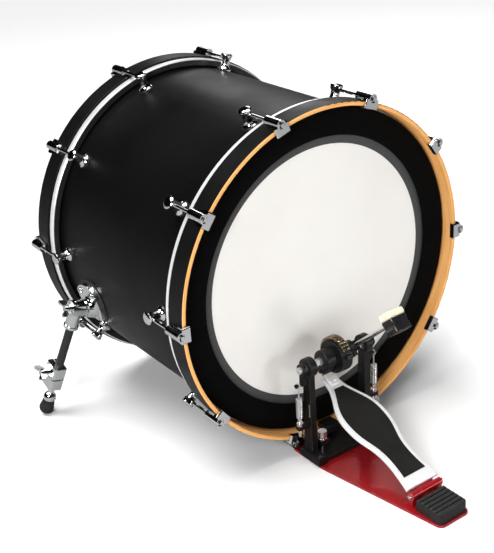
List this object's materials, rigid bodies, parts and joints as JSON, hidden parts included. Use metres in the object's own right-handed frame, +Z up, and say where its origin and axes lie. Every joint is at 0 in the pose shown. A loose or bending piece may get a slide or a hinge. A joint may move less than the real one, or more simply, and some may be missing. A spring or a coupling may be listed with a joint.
{
  "type": "bass drum",
  "caption": "Floor-standing bass drum with wood hoops, claw-hook tensioning, folding telescopic spurs and a chain-drive foot pedal clamped to the batter hoop.",
  "frame": {"origin": "on the floor, straight below the front edge of the batter hoop, on the drum's centre plane", "axes": "+X to the player's right, +Y along the drum's axis away from the player, +Z up"},
  "size_m": [0.752, 0.8057, 0.6154],
  "materials": {
    "black_lacquer": "satin black lacquer over maple",
    "hoop_maple": "clear satin lacquer over maple, black outside",
    "white_film": "matte coated film",
    "black_film": "satin film",
    "collar_grey": "satin",
    "foam_black": "closed-cell foam, matte",
    "bright_ring": "satin extruded",
    "chrome": "polished",
    "steel": "bright",
    "brass": "plain",
    "chain_gold": "oiled",
    "black_rubber": "matte",
    "red_paint": "metallic gloss",
    "black_casting": "satin powder coat",
    "board_silver": "satin cast",
    "grip_dark": "fine grip texture",
    "felt_cream": "dense felt",
    "beater_black": "satin"
  },
  "bodies": {
    "drum": {"air_vent": "chrome", "batter_flesh_hoop": "bright_ring", "batter_head": "white_film", "batter_hoop": "hoop_maple", "claw_pads": "black_rubber", "hoop_claws": "chrome", "lug_gaskets": "black_rubber", "lug_screws": "steel", "lugs": "chrome", "muffle_collar": "collar_grey", "muffle_foam": "foam_black", "pedal_base_plate": "red_paint", "pedal_bearings": "steel", "pedal_chain_run": "chain_gold", "pedal_heel_block": "black_rubber", "pedal_heel_hinge": "red_paint", "pedal_hinge_pin": "chrome", "pedal_hoop_jaw": "black_casting", "pedal_posts": "black_casting", "pedal_spring_adjusters": "chrome", "pedal_spring_left": "chrome", "pedal_spring_right": "chrome", "pedal_yoke": "black_casting", "resonant_flesh_hoop": "bright_ring", "resonant_head": "black_film", "resonant_hoop": "hoop_maple", "shell": "black_lacquer", "spur_bracket_screws": "chrome", "spur_gaskets": "black_rubber", "spur_left_bracket": "chrome", "spur_right_bracket": "chrome", "swivel_nuts": "brass", "tension_rods": "chrome"},
    "pedal_board": {"pedal_footboard": "board_silver", "pedal_footboard_grip": "grip_dark", "pedal_board_hinge": "red_paint", "pedal_toe_clamp": "board_silver"},
    "pedal_axle_group": {"pedal_axle": "steel", "pedal_sprocket": "black_casting", "pedal_chain_wrap": "chain_gold", "pedal_beater_hub": "black_casting", "pedal_rockers": "black_casting"},
    "pedal_beater": {"pedal_beater_shaft": "chrome", "pedal_beater_felt": "felt_cream", "pedal_beater_body": "beater_black"},
    "pedal_clamp_screw": {"pedal_hoop_screw": "chrome"},
    "spur_left_leg": {"spur_left_swivel": "chrome", "spur_left_leg_tube": "bright_ring", "spur_left_memory_clamp": "chrome"},
    "spur_left_rod": {"spur_left_inner_rod": "chrome", "spur_left_foot": "black_rubber"},
    "spur_left_wing_bolt": {"spur_left_wing_bolt": "chrome"},
    "spur_left_clamp_screw": {"spur_left_clamp_screw": "chrome"},
    "spur_right_leg": {"spur_right_swivel": "chrome", "spur_right_leg_tube": "bright_ring", "spur_right_memory_clamp": "chrome"},
    "spur_right_rod": {"spur_right_inner_rod": "chrome", "spur_right_foot": "black_rubber"},
    "spur_right_wing_bolt": {"spur_right_wing_bolt": "chrome"},
    "spur_right_clamp_screw": {"spur_right_clamp_screw": "chrome"}
  },
  "joints": [
    {"name": "spur_left_swing", "type": "hinge", "parent": "drum", "child": "spur_left_leg", "pos_m": [-0.3, 0.364, 0.227], "axis": [-0.9602, 0, 0.2795], "range_deg": [0, 105.1]},
    {"name": "spur_left_extend", "type": "slide", "parent": "spur_left_leg", "child": "spur_left_rod", "axis": [-0.2698, 0.2611, -0.9269], "range_m": [0, 0.07]},
    {"name": "spur_left_wing_bolt_turn", "type": "hinge", "parent": "drum", "child": "spur_left_wing_bolt", "pos_m": [-0.3, 0.364, 0.227], "axis": [-0.9602, 0, 0.2795], "range_deg": [0, 360]},
    {"name": "spur_left_clamp_screw_turn", "type": "hinge", "parent": "spur_left_leg", "child": "spur_left_clamp_screw", "pos_m": [-0.35394, 0.4207, 0.0882], "axis": [-0.9602, 0, 0.2795], "range_deg": [0, 360]},
    {"name": "spur_right_swing", "type": "hinge", "parent": "drum", "child": "spur_right_leg", "pos_m": [0.3, 0.364, 0.227], "axis": [-0.9602, 0, -0.2795], "range_deg": [0, 105.1]},
    {"name": "spur_right_extend", "type": "slide", "parent": "spur_right_leg", "child": "spur_right_rod", "axis": [0.2698, 0.2611, -0.9269], "range_m": [0, 0.07]},
    {"name": "spur_right_wing_bolt_turn", "type": "hinge", "parent": "drum", "child": "spur_right_wing_bolt", "pos_m": [0.3, 0.364, 0.227], "axis": [0.9602, 0, 0.2795], "range_deg": [0, 360]},
    {"name": "spur_right_clamp_screw_turn", "type": "hinge", "parent": "spur_right_leg", "child": "spur_right_clamp_screw", "pos_m": [0.35394, 0.4207, 0.0882], "axis": [0.9602, 0, 0.2795], "range_deg": [0, 360]},
    {"name": "pedal_axle_turn", "type": "hinge", "parent": "drum", "child": "pedal_axle_group", "pos_m": [-0.014, -0.026, 0.184], "axis": [-1, 0, 0], "range_deg": [0, 61], "stiffness_Nm_per_rad": 0.5, "springref_deg": -40.11, "deforming": ["pedal_spring_left", "pedal_spring_right"]},
    {"name": "pedal_board_tilt", "type": "hinge", "parent": "drum", "child": "pedal_board", "pos_m": [-0.014, -0.241, 0.026], "axis": [-1, 0, 0], "range_deg": [0, 8.02], "deforming": ["pedal_chain_run"]},
    {"name": "pedal_beater_turn", "type": "hinge", "parent": "pedal_axle_group", "child": "pedal_beater", "pos_m": [0.008, -0.026, 0.184], "axis": [0, -0.7604, 0.6494], "range_deg": [0, 180]},
    {"name": "pedal_clamp_screw_turn", "type": "hinge", "parent": "drum", "child": "pedal_clamp_screw", "pos_m": [-0.055, -0.031, 0.029], "axis": [0, 0, 1], "range_deg": [0, 360]}
  ],
  "couplings": [
    {"joint": "pedal_board_tilt", "follows": "pedal_axle_turn", "ratio": 0.13131}
  ]
}
